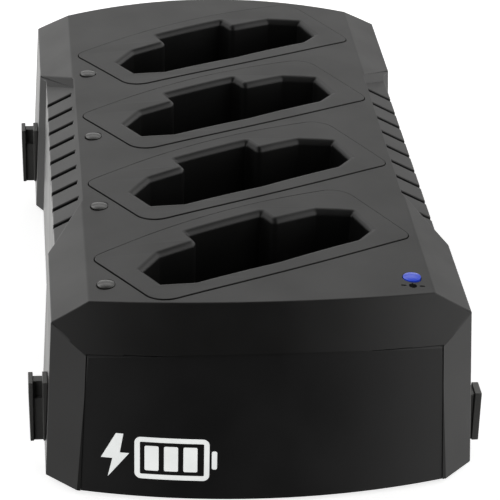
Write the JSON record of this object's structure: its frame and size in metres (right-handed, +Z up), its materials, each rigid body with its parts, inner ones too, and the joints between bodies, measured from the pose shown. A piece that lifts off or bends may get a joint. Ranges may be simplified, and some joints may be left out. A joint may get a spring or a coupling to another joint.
{
  "type": "bodypack charging station",
  "caption": "Desktop charging dock with slanted drop-in bays for wireless bodypacks, spring contacts, side vents and link rails.",
  "frame": {"origin": "on the table plane under the middle of the station, midway between its side walls and its end walls", "axes": "+X to the right and +Y to the rear when the printed end faces the user, +Z up"},
  "size_m": [0.1334, 0.2474, 0.0583],
  "materials": {
    "casing_plastic": "fine moulded grain",
    "panel_plastic": "satin, smoother than the casing",
    "base_plastic": "moulded",
    "insert_plastic": "fine moulded grain",
    "light_pipe_plastic": "smoky clear",
    "blue_lens": "tinted clear",
    "circuit_board": "solder mask",
    "chip_plastic": "moulded",
    "ferrite": "sintered",
    "capacitor_can": "satin",
    "led_white": "clear",
    "contact_plastic": "moulded",
    "gold_plate": "gold plated",
    "spring_steel": "drawn wire",
    "inlet_plastic": "moulded",
    "nickel": "nickel plated",
    "rail_plastic": "moulded",
    "screw_steel": "zinc plated",
    "foot_rubber": "matt"
  },
  "bodies": {
    "station": {"top_cover": "casing_plastic", "front_panel": "panel_plastic", "rear_panel": "panel_plastic", "base_plate": "base_plastic", "bay_insert_1": "insert_plastic", "bay_insert_2": "insert_plastic", "bay_insert_3": "insert_plastic", "bay_insert_4": "insert_plastic", "status_light_pipe_1": "light_pipe_plastic", "status_light_pipe_2": "light_pipe_plastic", "status_light_pipe_3": "light_pipe_plastic", "status_light_pipe_4": "light_pipe_plastic", "power_lens": "blue_lens", "main_board": "circuit_board", "board_chips": "chip_plastic", "board_inductors": "ferrite", "board_capacitors": "capacitor_can", "status_leds": "led_white", "power_led": "led_white", "contact_block_1": "contact_plastic", "contact_block_2": "contact_plastic", "contact_block_3": "contact_plastic", "contact_block_4": "contact_plastic", "contact_barrels": "gold_plate", "contact_spring_1a": "spring_steel", "contact_spring_1b": "spring_steel", "contact_spring_2a": "spring_steel", "contact_spring_2b": "spring_steel", "contact_spring_3a": "spring_steel", "contact_spring_3b": "spring_steel", "contact_spring_4a": "spring_steel", "contact_spring_4b": "spring_steel", "power_inlet": "inlet_plastic", "inlet_centre_pin": "nickel", "link_rail_left_front": "rail_plastic", "link_rail_left_rear": "rail_plastic", "link_rail_right_front": "rail_plastic", "link_rail_right_rear": "rail_plastic", "link_screws": "screw_steel", "cover_screws": "screw_steel", "panel_screws": "screw_steel", "board_screws": "screw_steel", "rubber_feet": "foot_rubber"},
    "pin_1a": {"contact_pin_1a": "gold_plate"},
    "pin_1b": {"contact_pin_1b": "gold_plate"},
    "pin_2a": {"contact_pin_2a": "gold_plate"},
    "pin_2b": {"contact_pin_2b": "gold_plate"},
    "pin_3a": {"contact_pin_3a": "gold_plate"},
    "pin_3b": {"contact_pin_3b": "gold_plate"},
    "pin_4a": {"contact_pin_4a": "gold_plate"},
    "pin_4b": {"contact_pin_4b": "gold_plate"}
  },
  "joints": [
    {"name": "pin_press_1a", "type": "slide", "parent": "station", "child": "pin_1a", "axis": [0, 0, 1], "range_m": [-0.0012, 0], "stiffness_N_per_m": 20, "springref_m": 0.002, "deforming": ["contact_spring_1a"]},
    {"name": "pin_press_1b", "type": "slide", "parent": "station", "child": "pin_1b", "axis": [0, 0, 1], "range_m": [-0.0012, 0], "stiffness_N_per_m": 20, "springref_m": 0.002, "deforming": ["contact_spring_1b"]},
    {"name": "pin_press_2a", "type": "slide", "parent": "station", "child": "pin_2a", "axis": [0, 0, 1], "range_m": [-0.0012, 0], "stiffness_N_per_m": 20, "springref_m": 0.002, "deforming": ["contact_spring_2a"]},
    {"name": "pin_press_2b", "type": "slide", "parent": "station", "child": "pin_2b", "axis": [0, 0, 1], "range_m": [-0.0012, 0], "stiffness_N_per_m": 20, "springref_m": 0.002, "deforming": ["contact_spring_2b"]},
    {"name": "pin_press_3a", "type": "slide", "parent": "station", "child": "pin_3a", "axis": [0, 0, 1], "range_m": [-0.0012, 0], "stiffness_N_per_m": 20, "springref_m": 0.002, "deforming": ["contact_spring_3a"]},
    {"name": "pin_press_3b", "type": "slide", "parent": "station", "child": "pin_3b", "axis": [0, 0, 1], "range_m": [-0.0012, 0], "stiffness_N_per_m": 20, "springref_m": 0.002, "deforming": ["contact_spring_3b"]},
    {"name": "pin_press_4a", "type": "slide", "parent": "station", "child": "pin_4a", "axis": [0, 0, 1], "range_m": [-0.0012, 0], "stiffness_N_per_m": 20, "springref_m": 0.002, "deforming": ["contact_spring_4a"]},
    {"name": "pin_press_4b", "type": "slide", "parent": "station", "child": "pin_4b", "axis": [0, 0, 1], "range_m": [-0.0012, 0], "stiffness_N_per_m": 20, "springref_m": 0.002, "deforming": ["contact_spring_4b"]}
  ]
}
